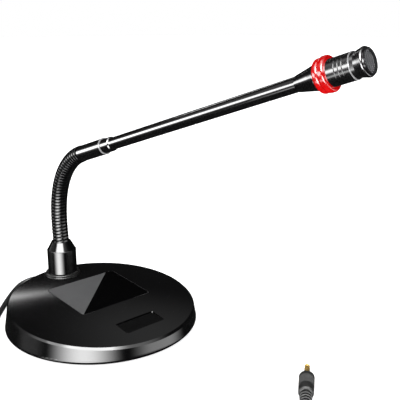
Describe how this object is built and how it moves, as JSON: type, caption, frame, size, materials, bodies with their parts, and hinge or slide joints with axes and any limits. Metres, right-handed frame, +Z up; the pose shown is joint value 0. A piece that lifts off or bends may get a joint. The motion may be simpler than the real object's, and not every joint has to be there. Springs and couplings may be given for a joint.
{
  "type": "gooseneck podium microphone",
  "caption": "Podium microphone on a weighted round base with a talk button, a coil gooseneck and boom, a red light ring at the head, and a coiled cord with a jack plug.",
  "frame": {"origin": "middle of the base's underside", "axes": "+Z up, -Y forward along the boom, the neck stands near the back at +Y, +X to the right seen from the front"},
  "size_m": [0.185, 0.3002, 0.2033],
  "materials": {
    "pad_rubber": "fine grain",
    "plate_steel": "zinc plated",
    "screw_steel": "zinc plated",
    "ballast_iron": "rough cast",
    "shell_black": "satin",
    "badge_tile": "satin, two tones",
    "button_black": "satin",
    "plunger_white": "plain",
    "switch_black": "plain",
    "board_green": "solder mask",
    "cable_black": "plain",
    "washer_black": "smooth",
    "collar_black": "satin",
    "gland_rubber": "smooth",
    "coil_black": "satin over wound steel",
    "boom_black": "gloss",
    "bright_ring": "polished",
    "light_red": "translucent",
    "strip_white": "plain",
    "chip_lamp": "clear",
    "head_black": "gloss",
    "mesh_steel": "woven wire",
    "foam_black": "open foam",
    "holder_rubber": "smooth",
    "capsule_metal": "satin",
    "cord_black": "satin",
    "tie_black": "woven hook and loop",
    "handle_rubber": "matte",
    "plug_gold": "gold plated",
    "plug_black": "plain"
  },
  "bodies": {
    "base": {"anti_slip_pad": "pad_rubber", "base_plate": "plate_steel", "base_screws": "screw_steel", "ballast_weight": "ballast_iron", "base_shell": "shell_black", "badge_panel": "badge_tile", "tact_switch": "switch_black", "circuit_board": "board_green", "board_screws": "screw_steel", "inner_cable": "cable_black", "collar_washer": "washer_black", "collar": "collar_black", "collar_nut": "screw_steel", "cord_gland": "gland_rubber", "cord_lead_base": "cord_black", "cord_coil": "cord_black", "coil_tie": "tie_black", "cord_lead_plug": "cord_black", "plug_relief": "gland_rubber", "plug_handle": "handle_rubber", "plug_flange": "plug_gold", "plug_sleeve": "plug_gold", "plug_ring": "plug_gold", "plug_tip": "plug_gold", "plug_insulators": "plug_black"},
    "button": {"talk_button": "button_black", "switch_plunger": "plunger_white"},
    "link_01": {"neck_link_01": "coil_black"},
    "link_02": {"neck_link_02": "coil_black"},
    "link_03": {"neck_link_03": "coil_black"},
    "link_04": {"neck_link_04": "coil_black"},
    "link_05": {"neck_link_05": "coil_black"},
    "link_06": {"neck_link_06": "coil_black"},
    "link_07": {"neck_link_07": "coil_black"},
    "link_08": {"neck_link_08": "coil_black"},
    "link_09": {"neck_link_09": "coil_black"},
    "link_10": {"neck_link_10": "coil_black"},
    "boom": {"ferrule": "boom_black", "ferrule_ring": "bright_ring", "boom_sleeve": "boom_black", "boom_tube": "boom_black", "boom_cable": "cable_black", "rear_cone": "boom_black", "light_ring": "light_red", "light_strip": "strip_white", "light_chips": "chip_lamp", "head_barrel": "head_black", "seam_ring": "bright_ring", "front_cap": "head_black", "grille_ring": "bright_ring", "grille_mesh": "mesh_steel", "foam_disc": "foam_black", "capsule_holder": "holder_rubber", "mic_capsule": "capsule_metal"}
  },
  "joints": [
    {"name": "button_press", "type": "slide", "parent": "base", "child": "button", "axis": [0, 0.0837, -0.9965], "range_m": [0, 0.0008], "stiffness_N_per_m": 800, "springref_m": -0.0006},
    {"name": "neck_sway", "type": "hinge", "parent": "base", "child": "link_01", "pos_m": [0, 0.053, 0.05], "axis": [-0.101, 0.9944, -0.0317], "range_deg": [-10, 10]},
    {"name": "lower_bend", "type": "hinge", "parent": "link_01", "child": "link_02", "pos_m": [-0.00006, 0.05354, 0.05858], "axis": [0.9949, 0.1011, 0], "range_deg": [-4, 3]},
    {"name": "lower_bend_2", "type": "hinge", "parent": "link_02", "child": "link_03", "pos_m": [-0.00008, 0.05375, 0.06718], "axis": [0.9949, 0.1011, 0], "range_deg": [-4, 3]},
    {"name": "neck_sway_2", "type": "hinge", "parent": "link_03", "child": "link_04", "pos_m": [-0.00004, 0.05339, 0.07577], "axis": [-0.1007, 0.991, 0.0882], "range_deg": [-10, 10]},
    {"name": "lower_bend_3", "type": "hinge", "parent": "link_04", "child": "link_05", "pos_m": [0.00008, 0.05224, 0.08429], "axis": [0.9949, 0.1011, 0], "range_deg": [-4, 3]},
    {"name": "middle_bend", "type": "hinge", "parent": "link_05", "child": "link_06", "pos_m": [0.00029, 0.05013, 0.09263], "axis": [0.9949, 0.1011, 0], "range_deg": [-9, 4]},
    {"name": "neck_sway_3", "type": "hinge", "parent": "link_06", "child": "link_07", "pos_m": [0.00062, 0.04691, 0.10059], "axis": [-0.0903, 0.8889, 0.449], "range_deg": [-10, 10]},
    {"name": "middle_bend_2", "type": "hinge", "parent": "link_07", "child": "link_08", "pos_m": [0.00107, 0.04247, 0.10795], "axis": [0.9949, 0.1011, 0], "range_deg": [-9, 4]},
    {"name": "upper_bend", "type": "hinge", "parent": "link_08", "child": "link_09", "pos_m": [0.00164, 0.03681, 0.1144], "axis": [0.9949, 0.1011, 0], "range_deg": [-10, 6]},
    {"name": "upper_bend_2", "type": "hinge", "parent": "link_09", "child": "link_10", "pos_m": [0.00234, 0.03, 0.1196], "axis": [0.9949, 0.1011, 0], "range_deg": [-10, 6]},
    {"name": "upper_bend_3", "type": "hinge", "parent": "link_10", "child": "boom", "pos_m": [0.00313, 0.02223, 0.12321], "axis": [0.9949, 0.1011, 0], "range_deg": [-10, 6]}
  ],
  "couplings": [
    {"joint": "lower_bend_2", "follows": "lower_bend", "ratio": 1},
    {"joint": "neck_sway_2", "follows": "neck_sway", "ratio": 1},
    {"joint": "lower_bend_3", "follows": "lower_bend", "ratio": 1},
    {"joint": "neck_sway_3", "follows": "neck_sway", "ratio": 1},
    {"joint": "middle_bend_2", "follows": "middle_bend", "ratio": 1},
    {"joint": "upper_bend_2", "follows": "upper_bend", "ratio": 1},
    {"joint": "upper_bend_3", "follows": "upper_bend", "ratio": 1}
  ]
}
